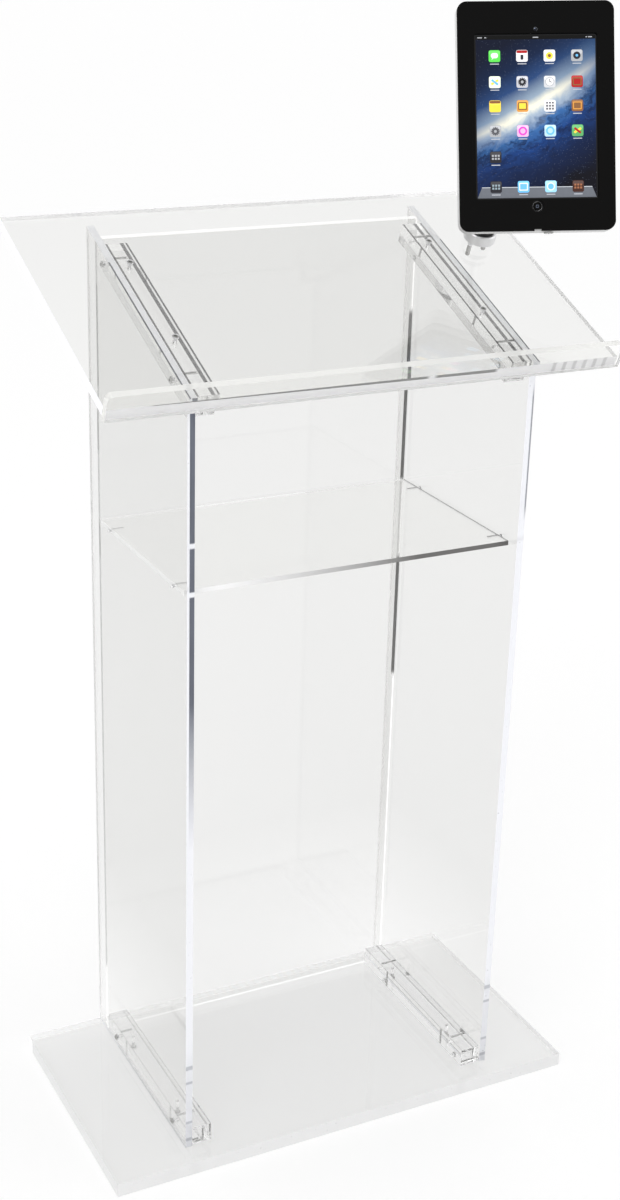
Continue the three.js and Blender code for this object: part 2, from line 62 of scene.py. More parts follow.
def make_camera():
    """Camera at the photograph's viewing angle. Yaw turns it from +Y toward +X."""
    yaw = math.radians(CAMERA_YAW)
    pitch = math.radians(CAMERA_PITCH)
    roll = math.radians(CAMERA_ROLL)
    ahead = math.cos(pitch)
    forward = Vector((math.sin(yaw) * ahead, math.cos(yaw) * ahead, math.sin(pitch)))
    level = Vector((math.cos(yaw), -math.sin(yaw), 0))
    upright = level.cross(forward)
    right = math.cos(roll) * level + math.sin(roll) * upright
    up = math.cos(roll) * upright - math.sin(roll) * level
    data = bpy.data.cameras.new("camera")
    data.lens = FOCAL_LENGTH
    data.sensor_width = SENSOR_WIDTH
    data.clip_start = 0.05
    data.clip_end = 100
    camera = bpy.data.objects.new("camera", data)
    turn = Matrix((right, up, -forward)).transposed().to_4x4()
    camera.matrix_world = Matrix.Translation(Vector(CAMERA_PLACE)) @ turn
    scene.collection.objects.link(camera)
    scene.camera = camera


# ---------------------------------------------------------------- node helpers

def new_material(name):
    material = bpy.data.materials.new(name)
    material.use_nodes = True
    return material, material.node_tree, material.node_tree.nodes["Principled BSDF"]


def add(tree, kind, **inputs):
    """A node with some of its inputs set by name."""
    node = tree.nodes.new("ShaderNode" + kind)
    for key, value in inputs.items():
        node.inputs[key.replace("_", " ")].default_value = value
    return node


def object_coordinates(tree):
    return add(tree, "TexCoord").outputs["Object"]


def math_node(tree, operation, first, second=0.0):
    node = tree.nodes.new("ShaderNodeMath")
    node.operation = operation
    for socket, value in zip(node.inputs, (first, second)):
        if isinstance(value, (int, float)):
            socket.default_value = value
        else:
            tree.links.new(value, socket)
    return node.outputs[0]


def along(tree, direction, vector=None):
    """How far a point lies along a direction, or how much a normal faces it."""
    node = tree.nodes.new("ShaderNodeVectorMath")
    node.operation = "DOT_PRODUCT"
    node.inputs[1].default_value = direction
    tree.links.new(vector or object_coordinates(tree), node.inputs[0])
    return node.outputs["Value"]


def noise(tree, scale, detail=3.0, roughness=0.55, stretch=None):
    """Noise over the object's own coordinates, drawn out along an axis if stretch says so."""
    node = add(tree, "TexNoise", Scale=scale, Detail=detail, Roughness=roughness)
    vector = object_coordinates(tree)
    if stretch:
        mapping = add(tree, "Mapping")
        mapping.inputs["Scale"].default_value = stretch
        tree.links.new(vector, mapping.inputs["Vector"])
        vector = mapping.outputs["Vector"]
    tree.links.new(vector, node.inputs["Vector"])
    return node.outputs["Fac"]


def span(tree, value, low, high, start=0.0, end=1.0):
    """Maps a value from start..end to low..high."""
    node = add(tree, "MapRange")
    node.inputs["From Min"].default_value = start
    node.inputs["From Max"].default_value = end
    node.inputs["To Min"].default_value = low
    node.inputs["To Max"].default_value = high
    tree.links.new(value, node.inputs["Value"])
    return node.outputs["Result"]


def ramp(tree, value, start, end, stops):
    """Colours along a value from start to end. Each stop is (value, colour)."""
    node = tree.nodes.new("ShaderNodeValToRGB")
    elements = node.color_ramp.elements
    while len(elements) < len(stops):
        elements.new(0.5)
    for element, (place, colour) in zip(elements, stops):
        element.position = (place - start) / (end - start)
        element.color = (*colour, 1)
    tree.links.new(span(tree, value, 0, 1, start, end), node.inputs["Fac"])
    return node.outputs["Color"]


def blend_colours(tree, factor, first, second):
    """A mix of two colours, each a triple or another node's output."""
    node = tree.nodes.new("ShaderNodeMix")
    node.data_type = "RGBA"
    for socket, colour in ((node.inputs[6], first), (node.inputs[7], second)):
        if isinstance(colour, bpy.types.NodeSocket):
            tree.links.new(colour, socket)
        else:
            socket.default_value = (*colour, 1)
    tree.links.new(factor, node.inputs[0])
    return node.outputs[2]


def bump(tree, shader, height, distance, strength=1.0):
    node = add(tree, "Bump", Strength=strength, Distance=distance)
    tree.links.new(height, node.inputs["Height"])
    tree.links.new(node.outputs["Normal"], shader.inputs["Normal"])


# ---------------------------------------------------------------- acrylic

ALONG_X = Vector((1, 0, 0))
ALONG_Y = Vector((0, 1, 0))
UPWARD = Vector((0, 0, 1))
DESK_NORMAL = Vector(joints["arm_swivel"]["axis"])
ACRYLIC_IOR = 1.49

# A surface that faces its sheet's thin direction less than this is an edge.
EDGE_FACING = 0.7

# Tints of the sheets' faces, the level ones lighter than the upright ones as painted light against the shade that
# they lie in, and the paler tint of all of them near the floor, painted light from the pale base below.
UPRIGHT = (0.87, 0.87, 0.863)
LEVEL = (0.985, 0.985, 0.975)
DESK = (0.935, 0.935, 0.925)
LIP = (1.0, 1.0, 0.99)
PAINTED_FLOOR_LIGHT = (0.985, 0.985, 0.98)

# Tints of their edges.
BRIGHT = (0.97, 0.97, 0.97)
ICE = (0.89, 0.90, 0.94)
# Painted dark reflection in the side panels' edges.
PAINTED_DARK_REFLECTION = (0.10, 0.11, 0.14)
# Painted dark reflection in the front panel's ends and the shelf's front edge.
PAINTED_BLACK_REFLECTION = (0.135, 0.132, 0.128)
# Painted shade under the lip on the desk's front edge.
PAINTED_SHADE_GREY = (0.27, 0.27, 0.27)
SAWN_BASE = (0.84, 0.84, 0.84)
SAWN_DESK = (0.84, 0.84, 0.87)
SAWN_LIP = (0.99, 0.99, 0.965)

# Stretches of height over the floor, in metres: where the painted light near the floor fades, and where the edges
# have painted gleams, have ticks or show painted dark reflections.
FLOOR_LIGHT_FADE = (0.30, 0.06)
PAINTED_REFLECTION_FADE = (0.46, 0.66)
SHELF_GLEAMS = ((0.797, 0.803), (0.857, 0.863))
SCREW_TICKS = ((0.029, 0.034), (0.056, 0.060), (0.118, 0.122), (0.140, 0.146))
RIGHT_LINE = ((0.84, 1.0),)
RIGHT_CORNER = ((0.50, 0.68), (0.795, 1.03))
LEFT_CORNER = ((0.743, 0.797), (0.887, 0.945), (0.965, 1.10))

# Widths of lines and strips, in metres, or as parts of a panel's depth or thickness.
TOP_LINE_WIDTH = 1.8 * MM
TOP_LINE_PALE = 0.23
RIGHT_LINE_WIDTH = 2.2 * MM
CLEAR_STRIP = 0.33
END_STRIP_WIDTH = 3.2 * MM

# The wedge of painted shade under the lip (its start, its gap and its end) and the ticks beside it, as parts
# of the desk's width. The wedge gets deeper from its start to its end.
WEDGE = (0.08, 0.60, 0.615, 0.74)
WEDGE_DEPTH = (0.9 * MM, 4.5 * MM)
TICKS = 6
TICKS_FROM_RIGHT = 0.14
TICK_STEP = 0.022
TICK_WIDTH = 0.008

# Emission on the edges, painted light for how much of the gathered light comes out at an edge. At the front
# panel's ends that is for the clear and the dark stretches, and at the base and the desk for the near sides, right
# and back.
SIDE_TOP_GLOW = 0.24
SIDE_BACK_GLOW = 0.2
FRONT_LEVEL_GLOW = 0.55
FRONT_END_GLOW = (0.35, 0.09)
SHELF_GLOW = 0.4
BASE_GLOW = (0.0, 0.15, 0.3)
DESK_GLOW = (0.20, 0.14, 0.28)
LIP_GLOW = (0.04, 0.08)


def shade(colour, factor):
    return [channel * factor for channel in colour]


def facing(tree, direction):
    """How much a surface faces a direction, from -1 to 1."""
    return along(tree, direction, add(tree, "TexCoord").outputs["Normal"])


def beyond(tree, direction, limit):
    """1 where a point lies further along a direction than the limit, 0 elsewhere."""
    return math_node(tree, "GREATER_THAN", along(tree, direction), limit)


def short_of(tree, direction, limit):
    """1 where a point lies less far along a direction than the limit, 0 elsewhere."""
    return math_node(tree, "LESS_THAN", along(tree, direction), limit)


def product(tree, *factors):
    total = factors[0]
    for factor in factors[1:]:
        total = math_node(tree, "MULTIPLY", total, factor)
    return total


def largest(tree, *values):
    top = values[0]
    for value in values[1:]:
        top = math_node(tree, "MAXIMUM", top, value)
    return top


def invert(tree, value):
    return math_node(tree, "SUBTRACT", 1.0, value)


def inside(tree, value, stretches, soft=6 * MM):
    """1 where the value lies in one of the stretches (from, to), 0 elsewhere, with short soft ends."""
    total = 0.0
    for start, end in stretches:
        rise = span(tree, value, 0, 1, start - soft, start + soft)
        fall = span(tree, value, 1, 0, end - soft, end + soft)
        total = math_node(tree, "ADD", product(tree, rise, fall), total)
    return total


def is_level(tree):
    """1 on surfaces that face up or down, 0 on upright ones."""
    return math_node(tree, "GREATER_THAN", math_node(tree, "ABSOLUTE", facing(tree, UPWARD)), 0.5)


def uneven(tree, colour):
    """A colour that varies a little along an edge."""
    return blend_colours(tree, noise(tree, 40.0), shade(colour, 0.96), colour)


def grained(tree, colour, darkest, lightest):
    """A colour with grain that is drawn out up a panel's edge."""
    grain = noise(tree, 90.0, stretch=(1, 1, 0.12))
    return blend_colours(tree, grain, shade(colour, darkest), shade(colour, lightest))


def sheet(name, thin, face, edge, edge_roughness=0.3, strip=None, glow=None):
    """Clear cast sheet: polished faces across the thin direction, sawn and scraped edges round it.

    Near the floor the faces are painted paler, as painted light from the pale base lighting the sheet from below.
    edge makes the colour of the edges and how clear they are, 1 for glassy and 0 for opaque.
    strip marks a part of the faces that looks as the edges do. glow is emission on the edges,
    painted light for the light that the sheet gathers and lets out at an edge."""
    material, tree, shader = new_material(name)
    is_edge = math_node(tree, "LESS_THAN", math_node(tree, "ABSOLUTE", facing(tree, thin)), EDGE_FACING)
    if strip:
        is_edge = largest(tree, is_edge, strip(tree))
    body = blend_colours(tree, noise(tree, 3.0, detail=1.0), shade(face, 0.985), face)
    # Painted light: the faces are paler near the floor, as if lit from the base below.
    near_floor = span(tree, along(tree, UPWARD), 0, 1, *FLOOR_LIGHT_FADE)
    body = blend_colours(tree, near_floor, body, PAINTED_FLOOR_LIGHT)
    edge_colour, edge_clear = edge(tree)
    tree.links.new(blend_colours(tree, is_edge, body, edge_colour), shader.inputs["Base Color"])
    saw = noise(tree, 260.0, detail=2.0)
    rough = span(tree, saw, edge_roughness * 0.8, edge_roughness * 1.2)
    tree.links.new(product(tree, is_edge, rough), shader.inputs["Roughness"])
    hidden = product(tree, is_edge, invert(tree, edge_clear))
    tree.links.new(invert(tree, hidden), shader.inputs["Transmission Weight"])
    # Painted light: the edges glow as emission.
    if glow:
        shader.inputs["Emission Color"].default_value = (1, 1, 1, 1)
        tree.links.new(product(tree, is_edge, glow(tree)), shader.inputs["Emission Strength"])
    shader.inputs["IOR"].default_value = ACRYLIC_IOR
    return material


def top_line(tree):
    """The painted dark reflection along the outer corner of a side panel's sloping top edge, below its pale upper
    end.
    """
    low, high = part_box("side_panel_left")
    from_middle = math_node(tree, "ABSOLUTE", along(tree, ALONG_X))
    corner = math_node(tree, "GREATER_THAN", from_middle, -low.x - TOP_LINE_WIDTH)
    lower = short_of(tree, ALONG_Y, high.y - TOP_LINE_PALE * (high.y - low.y))
    return product(tree, corner, lower, is_level(tree))


def side_edge(tree):
    """Edges of the side panels: the left one's front edge has a painted dark reflection above the middle, the rest
    are pale.

    The left one's front edge keeps a clear strip and painted gleams at the shelf, both front edges have
    ticks at the bars' screws, the right one has a thin painted dark reflection near its top, and the
    sloping top edges have a painted dark reflection along their outer corner."""
    low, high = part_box("side_panel_left")
    height = along(tree, UPWARD)
    across = along(tree, ALONG_X)
    strip = math_node(tree, "GREATER_THAN", across, low.x + CLEAR_STRIP * (high.x - low.x))
    left = math_node(tree, "LESS_THAN", across, high.x)
    front = short_of(tree, ALONG_Y, low.y + MM)
    gleams = inside(tree, height, SHELF_GLEAMS, MM)
    # Painted dark reflection on the left front edge above the middle, with painted gleams at the shelf.
    painted_reflection = product(tree, span(tree, height, 0, 1, *PAINTED_REFLECTION_FADE), strip, left, front, invert(tree, gleams))
    ticks = product(tree, inside(tree, height, SCREW_TICKS, MM), front, 0.45)
    # Painted dark reflection: a thin line on the right front edge near its top.
    outer = math_node(tree, "GREATER_THAN", across, -low.x - RIGHT_LINE_WIDTH)
    line = product(tree, outer, front, inside(tree, height, RIGHT_LINE, 10 * MM), 0.75)
    dark = largest(tree, painted_reflection, ticks, top_line(tree), line)
    matt = largest(tree, is_level(tree), front)
    clear = product(tree, invert(tree, dark), span(tree, matt, 0.95, 0.3))
    return blend_colours(tree, dark, ICE, grained(tree, PAINTED_DARK_REFLECTION, 0.5, 1.9)), clear


def side_glow(tree):
    """Painted light, as emission, from a side panel's top edge beside its painted dark reflection, and from its
    back edge.
    """
    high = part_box("side_panel_left")[1]
    top = product(tree, is_level(tree), invert(tree, top_line(tree)), SIDE_TOP_GLOW)
    return largest(tree, top, product(tree, beyond(tree, ALONG_Y, high.y - MM), SIDE_BACK_GLOW))


def front_dark(tree):
    """Where the ends of the front panel show a painted dark reflection as a line in the corners of the cabinet."""
    height = along(tree, UPWARD)
    is_right = beyond(tree, ALONG_X, 0.0)
    right = product(tree, is_right, inside(tree, height, RIGHT_CORNER))
    left = product(tree, invert(tree, is_right), inside(tree, height, LEFT_CORNER))
    return math_node(tree, "ADD", right, left)


def front_strip(tree):
    """A narrow strip beside the right end of the front panel's outer face, with the same painted dark reflection
    as the end.
    """
    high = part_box("front_panel")[1]
    near_end = beyond(tree, ALONG_X, high.x - END_STRIP_WIDTH)
    outer = beyond(tree, ALONG_Y, high.y - 0.5 * MM)
    return product(tree, near_end, outer, front_dark(tree))


def front_edge(tree):
    """Ends of the front panel, with painted dark reflections in stretches, and its pale top and bottom edges."""
    matt = is_level(tree)
    dark = product(tree, front_dark(tree), invert(tree, matt))
    clear = product(tree, invert(tree, dark), span(tree, matt, 1.0, 0.2))
    return blend_colours(tree, dark, BRIGHT, grained(tree, PAINTED_BLACK_REFLECTION, 0.6, 1.5)), clear


def front_glow(tree):
    """Painted light, as emission, from the front panel's top and bottom edges, and from its ends, less where they
    show painted dark reflections.
    """
    level = is_level(tree)
    ends = product(tree, invert(tree, level), span(tree, front_dark(tree), *FRONT_END_GLOW))
    return math_node(tree, "ADD", product(tree, level, FRONT_LEVEL_GLOW), ends)


def shelf_edge(tree):
    """Shelf edges: the front one has a painted dark reflection that darkens toward the right, the right one a grey
    painted reflection, the others are pale.
    """
    low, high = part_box("shelf")
    back = beyond(tree, ALONG_Y, high.y - MM)
    front = short_of(tree, ALONG_Y, low.y + MM)
    right = beyond(tree, ALONG_X, high.x - MM)
    # Painted dark reflection on the front edge, deeper toward the right.
    toward_right = span(tree, along(tree, ALONG_X), 0, 1, low.x * 0.8, high.x * 0.4)
    grey = product(tree, right, invert(tree, back), 0.45)
    dark = largest(tree, product(tree, toward_right, front), grey)
    clear = product(tree, invert(tree, dark), span(tree, back, 0.1, 1.0))
    return blend_colours(tree, dark, BRIGHT, PAINTED_BLACK_REFLECTION), clear


def shelf_glow(tree):
    """The left edge of the shelf gleams: painted light, as emission."""
    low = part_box("shelf")[0]
    return product(tree, short_of(tree, ALONG_X, low.x + MM), SHELF_GLOW)


def far_sides(tree, node):
    """The right and the back edge of a level sheet, each 1 there and 0 elsewhere."""
    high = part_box(node)[1]
    return beyond(tree, ALONG_X, high.x - 0.3 * MM), beyond(tree, ALONG_Y, high.y - 14 * MM)


def sawn_edge(tree, node, colour):
    """Sawn edges, matt on the front and left of a level sheet and clearer on its back and right."""
    return uneven(tree, colour), span(tree, largest(tree, *far_sides(tree, node)), 0.15, 0.7)


def edge_glow(tree, node, near, right, back):
    """Painted light, as emission, from the cut edges of a level sheet, by the side that they are on."""
    is_right, is_back = far_sides(tree, node)
    sides = span(tree, is_right, near, right)
    return largest(tree, sides, product(tree, is_back, invert(tree, is_right), back))


def base_edge(tree):
    return sawn_edge(tree, "base_plate", SAWN_BASE)


# Painted light, as emission, from the base's cut edges.
def base_glow(tree):
    return edge_glow(tree, "base_plate", *BASE_GLOW)


def desk_dark(tree):
    """The grey wedge of painted shade along the top of the desk's front edge, under the lip, and the ticks further
    right.
    """
    low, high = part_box("reading_surface")
    width = high.x - low.x
    vertices = nodes["reading_surface"].data.vertices
    top = max(DESK_NORMAL.dot(vertex.co) for vertex in vertices)
    across = along(tree, ALONG_X)
    front = short_of(tree, ALONG_Y, low.y + 8 * MM)
    start, gap_start, gap_end, end = (low.x + part * width for part in WEDGE)
    depth = span(tree, across, *WEDGE_DEPTH, start, end)
    below_top = math_node(tree, "SUBTRACT", top, along(tree, DESK_NORMAL))
    in_wedge = math_node(tree, "LESS_THAN", below_top, depth)
    # Painted shade under the lip.
    wedge = product(tree, in_wedge, inside(tree, across, ((start, gap_start), (gap_end, end)), 3 * MM))
    first = high.x - TICKS_FROM_RIGHT * width
    starts = [first + TICK_STEP * width * i for i in range(TICKS)]
    ticks = [(place, place + TICK_WIDTH * width) for place in starts]
    marks = product(tree, inside(tree, across, ticks, MM), 0.4)
    return product(tree, front, largest(tree, wedge, marks))


def desk_edge(tree):
    colour, clear = sawn_edge(tree, "reading_surface", SAWN_DESK)
    dark = desk_dark(tree)
    return blend_colours(tree, dark, colour, PAINTED_SHADE_GREY), product(tree, invert(tree, dark), clear)


# Painted light, as emission, from the desk's cut edges, less in the painted shade under the lip.
def desk_glow(tree):
    glow = edge_glow(tree, "reading_surface", *DESK_GLOW)
    return product(tree, glow, invert(tree, desk_dark(tree)))


def lip_edge(tree):
    return uneven(tree, SAWN_LIP), 0.5


# Painted light, as emission, uneven along the lip's edges.
def lip_glow(tree):
    return span(tree, noise(tree, 30.0), *LIP_GLOW)


def bar_material(name, rise, line, line_width):
    """A polished square bar. Its long corners show as darker lines, a painted dark reflection, and are a little
    rougher.
    """
    material, tree, shader = new_material(name)
    low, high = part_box("bottom_bar_right")
    middle = (low.x + high.x) / 2
    half = (high.x - low.x) / 2
    from_centre = math_node(tree, "ABSOLUTE", along(tree, ALONG_X))
    from_middle = math_node(tree, "ABSOLUTE", math_node(tree, "SUBTRACT", from_centre, middle))
    corner = math_node(tree, "GREATER_THAN", from_middle, half - line_width)
    faces_rise = math_node(tree, "ABSOLUTE", facing(tree, rise))
    # Painted dark reflection along the long corners.
    painted_dark_corner = product(tree, corner, math_node(tree, "GREATER_THAN", faces_rise, EDGE_FACING))
    dark = blend_colours(tree, noise(tree, 30.0), shade(line, 0.6), line)
    tree.links.new(blend_colours(tree, painted_dark_corner, (1.0, 1.0, 1.0), dark), shader.inputs["Base Color"])
    tree.links.new(product(tree, painted_dark_corner, 0.2), shader.inputs["Roughness"])
    shader.inputs["Transmission Weight"].default_value = 1.0
    shader.inputs["IOR"].default_value = ACRYLIC_IOR
    return material


# ---------------------------------------------------------------- other materials

def metal(name, colour, smooth, rough, scale):
    """Metal with a fine grain, whose roughness runs from smooth to rough."""
    material, tree, shader = new_material(name)
    shader.inputs["Metallic"].default_value = 1.0
    grain = noise(tree, scale)
    tree.links.new(blend_colours(tree, grain, shade(colour, 0.9), colour), shader.inputs["Base Color"])
    tree.links.new(span(tree, grain, smooth, rough), shader.inputs["Roughness"])
    bump(tree, shader, grain, 0.03 * MM)
    return material


def plastic(name, colour, smooth, rough, scale, depth, gloss=0.5):
    """Moulded plastic, rubber or dark glass with a texture of the given depth, cloudy at a larger scale."""
    material, tree, shader = new_material(name)
    grain = noise(tree, scale)
    tint = blend_colours(tree, noise(tree, scale / 20), shade(colour, 0.92), colour)
    tree.links.new(tint, shader.inputs["Base Color"])
    tree.links.new(span(tree, grain, smooth, rough), shader.inputs["Roughness"])
    shader.inputs["Specular IOR Level"].default_value = gloss
    bump(tree, shader, grain, depth)
    return material


def paint(material, *names):
    for name in names:
        for slot in nodes[name].material_slots:
            slot.material = material


def paint_frame():
    """Gives every CAD node its material: the plain ones by slot, then the acrylic ones by name."""
    fine = 0.02 * MM
    coarse = 0.04 * MM
    made = {
        "steel": metal("steel", (0.48, 0.48, 0.47), 0.16, 0.30, 900),
        "aluminium": metal("aluminium", (0.80, 0.80, 0.81), 0.26, 0.38, 1400),
        "black_plastic": plastic("black_plastic", (0.0035, 0.0034, 0.0033), 0.34, 0.46, 2600, fine, 0.06),
        "white_plastic": plastic("white_plastic", (0.76, 0.76, 0.76), 0.30, 0.40, 2200, fine),
        "black_rubber": plastic("black_rubber", (0.02, 0.02, 0.02), 0.6, 0.8, 1800, coarse, 0.3),
        "screen_glass": plastic("screen_glass", (0.004, 0.004, 0.005), 0.04, 0.07, 300, 0.0, 0.3),
    }
    for row in frame["record"]["subparts"]:
        if row["material_slot"] in made:
            paint(made[row["material_slot"]], row["node"])
    # The shelf screws get a far lighter steel: painted glints.
    steel_painted_glint = metal("steel_painted_glint", (0.90, 0.90, 0.90), 0.30, 0.42, 900)
    paint(steel_painted_glint, *[name for name in nodes if name.startswith("shelf_screw")])
    downhill = ALONG_X.cross(DESK_NORMAL)
    side = sheet("acrylic_side", ALONG_X, UPRIGHT, side_edge, glow=side_glow)
    front = sheet("acrylic_front", ALONG_Y, UPRIGHT, front_edge, 0.05, front_strip, front_glow)
    shelf = sheet("acrylic_shelf", UPWARD, LEVEL, shelf_edge, 0.1, glow=shelf_glow)
    base = sheet("acrylic_base", UPWARD, LEVEL, base_edge, glow=base_glow)
    desk = sheet("acrylic_desk", DESK_NORMAL, DESK, desk_edge, glow=desk_glow)
    lip = sheet("acrylic_lip", downhill, LIP, lip_edge, 0.1, glow=lip_glow)
    # The bars' corner lines are painted dark reflections: grey on the bottom bars, near black on the top ones.
    bottom_bar = bar_material("acrylic_bottom_bar", UPWARD, (0.62, 0.62, 0.62), 1.3 * MM)
    top_bar = bar_material("acrylic_top_bar", DESK_NORMAL, (0.05, 0.05, 0.052), 2.4 * MM)
    paint(side, "side_panel_left", "side_panel_right")
    paint(front, "front_panel")
    paint(shelf, "shelf")
    paint(base, "base_plate")
    paint(desk, "reading_surface")
    paint(lip, "paper_lip")
    paint(bottom_bar, "bottom_bar_left", "bottom_bar_right")
    paint(top_bar, "top_bar_left", "top_bar_right")


# ---------------------------------------------------------------- display

SCREEN_OUT = Vector(joints["screen_rotation"]["axis"])
SCREEN_ACROSS = -Vector(joints["front_frame_hooks"]["axis"])
SCREEN_UP = SCREEN_OUT.cross(SCREEN_ACROSS)
SCREEN_CENTRE = Vector(joints["screen_rotation"]["pos_m"])

# Sizes on the screen and heights over its centre, in millimetres.
SCREEN_WIDTH = 148
SCREEN_HEIGHT = 197
STATUS_BAR = 96.2
STATUS_BAR_HEIGHT = 4.6
DOCK_ROW = -85.0
DOCK_FRONT = SCREEN_WIDTH / 2
DOCK_BACK = 68.6
TILE = 14.3
LENS_PLACE = 106

WHITE = (0.72, 0.72, 0.73)
GREY = (0.35, 0.36, 0.38)
DARK = (0.02, 0.02, 0.025)
STATUS_BLACK = (0.001, 0.001, 0.001)
DOCK_GREY = (0.12, 0.13, 0.15)
DOCK_RIM = (0.55, 0.58, 0.62)
CAPTION_GREY = (0.42, 0.44, 0.48)
# Colours of the lens and the home button's mark: the lens ring and the mark's bluish line are real parts drawn
# lighter as painted glints, and LENS_GLINT is a painted highlight.
LENS_RING = (0.16, 0.17, 0.19)
LENS_BLACK = (0.004, 0.005, 0.012)
LENS_GLINT = (0.35, 0.42, 0.6)
BUTTON_LINE = (0.16, 0.19, 0.26)
BUTTON_BLACK = (0.006, 0.007, 0.010)

# The plates of the picture lie in layers this far apart.
LAYER = 0.03 * MM


def on_screen(u, v, out):
    """A point of the screen: across and up from its centre in millimetres, out from it in metres."""
    return SCREEN_CENTRE + SCREEN_ACROSS * (u * MM) + SCREEN_UP * (v * MM) + SCREEN_OUT * out


def rounded(width, height, radius, steps=5):
    """Outline of a rounded rectangle round the origin."""
    points = []
    for corner, (side, end) in enumerate(((1, 1), (-1, 1), (-1, -1), (1, -1))):
        for step in range(steps + 1):
            angle = math.radians(90 * corner + 90 * step / steps)
            x = side * (width / 2 - radius) + radius * math.cos(angle)
            y = end * (height / 2 - radius) + radius * math.sin(angle)
            points.append((x, y))
    return points


def round_outline(radius, steps=20):
    angles = [math.tau * step / steps for step in range(steps)]
    return [(radius * math.cos(angle), radius * math.sin(angle)) for angle in angles]


def square_outline(width, height):
    corners = ((1, 1), (-1, 1), (-1, -1), (1, -1))
    return [(side * width / 2, end * height / 2) for side, end in corners]


class Picture:
    """Flat closed plates on the screen, each with its own colour."""

    def __init__(self):
        self.mesh = bmesh.new()
        self.tint = self.mesh.loops.layers.float_color.new("tint")

    def plate(self, outline, u, v, layer, colour, turn=0.0):
        cosine = math.cos(math.radians(turn))
        sine = math.sin(math.radians(turn))
        spots = [(u + cosine * x - sine * y, v + sine * x + cosine * y) for x, y in outline]
        out = layer * LAYER
        low = [self.mesh.verts.new(on_screen(x, y, out)) for x, y in spots]
        high = [self.mesh.verts.new(on_screen(x, y, out + 0.6 * LAYER)) for x, y in spots]
        faces = [self.mesh.faces.new(high), self.mesh.faces.new(low[::-1])]
        count = len(spots)
        for i in range(count):
            j = (i + 1) % count
            faces.append(self.mesh.faces.new((low[i], low[j], high[j], high[i])))
        for face in faces:
            for loop in face.loops:
                loop[self.tint] = (*colour, 1)

    def box(self, width, height, u, v, layer, colour, radius=0.0, turn=0.0):
        outline = rounded(width, height, radius) if radius else square_outline(width, height)
        self.plate(outline, u, v, layer, colour, turn)

    def disc(self, radius, u, v, layer, colour):
        self.plate(round_outline(radius), u, v, layer, colour)

    def piece(self, name, material, body="screen"):
        data = bpy.data.meshes.new(name)
        self.mesh.to_mesh(data)
        self.mesh.free()
        data.materials.append(material)
        made = bpy.data.objects.new(name, data)
        scene.collection.objects.link(made)
        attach(made, body)


def lit_material(name, glow, gloss):
    """A lit picture behind glass, coloured by each plate's own tint, a little uneven."""
    material, tree, shader = new_material(name)
    tint = add(tree, "Attribute")
    tint.attribute_name = "tint"
    cloud = blend_colours(tree, noise(tree, 220.0), (0.86, 0.86, 0.86), (1, 1, 1))
    colour = tree.nodes.new("ShaderNodeMix")
    colour.data_type = "RGBA"
    colour.blend_type = "MULTIPLY"
    colour.inputs[0].default_value = 1.0
    tree.links.new(tint.outputs["Color"], colour.inputs[6])
    tree.links.new(cloud, colour.inputs[7])
    tree.links.new(colour.outputs[2], shader.inputs["Base Color"])
    tree.links.new(colour.outputs[2], shader.inputs["Emission Color"])
    shader.inputs["Emission Strength"].default_value = glow
    shader.inputs["Roughness"].default_value = gloss
    shader.inputs["Specular IOR Level"].default_value = 0.2
    return material


# The wallpaper's colours by distance from the middle of its glow, in metres: bright at the
# middle of the screen, dim toward two of its corners.
GLOW_TILT = 30
GLOW_REACH = 0.10
BRIGHT_STOPS = (
    (-0.092, (0.001, 0.001, 0.004)),
    (-0.055, (0.002, 0.009, 0.040)),
    (-0.028, (0.006, 0.035, 0.15)),
    (-0.010, (0.03, 0.10, 0.26)),
    (0.004, (0.30, 0.36, 0.42)),
    (0.012, (0.68, 0.65, 0.52)),
    (0.022, (0.20, 0.26, 0.33)),
    (0.042, (0.014, 0.04, 0.12)),
    (0.065, (0.003, 0.010, 0.036)),
    (0.095, (0.002, 0.004, 0.014)),
)
DIM_STOPS = (
    (-0.09, (0.001, 0.001, 0.003)),
    (-0.03, (0.004, 0.016, 0.07)),
    (0.010, (0.02, 0.07, 0.18)),
    (0.05, (0.004, 0.012, 0.04)),
    (0.09, (0.001, 0.003, 0.010)),
)
DIM_FROM = 0.025
DIM_TO = 0.115
GAP_BLUE = (0.002, 0.008, 0.035)
GAP_STRETCH = (-0.052, -0.004)
STAR_BLUE = (0.5, 0.6, 0.8)
WALLPAPER_GLOW = 0.78


def from_screen_centre(tree):
    """The place of a point, counted from the screen's centre."""
    place = tree.nodes.new("ShaderNodeVectorMath")
    place.operation = "SUBTRACT"
    tree.links.new(object_coordinates(tree), place.inputs[0])
    place.inputs[1].default_value = SCREEN_CENTRE
    return place.outputs[0]


def streaks_along(tree, length, across):
    """Noise drawn out along the glow."""
    drawn = tree.nodes.new("ShaderNodeCombineXYZ")
    tree.links.new(math_node(tree, "MULTIPLY", length, 22.0), drawn.inputs[0])
    tree.links.new(math_node(tree, "MULTIPLY", across, 90.0), drawn.inputs[1])
    streaks = add(tree, "TexNoise", Scale=1.6, Detail=6.0, Roughness=0.65, Distortion=0.8)
    tree.links.new(drawn.outputs[0], streaks.inputs["Vector"])
    return streaks.outputs["Fac"]


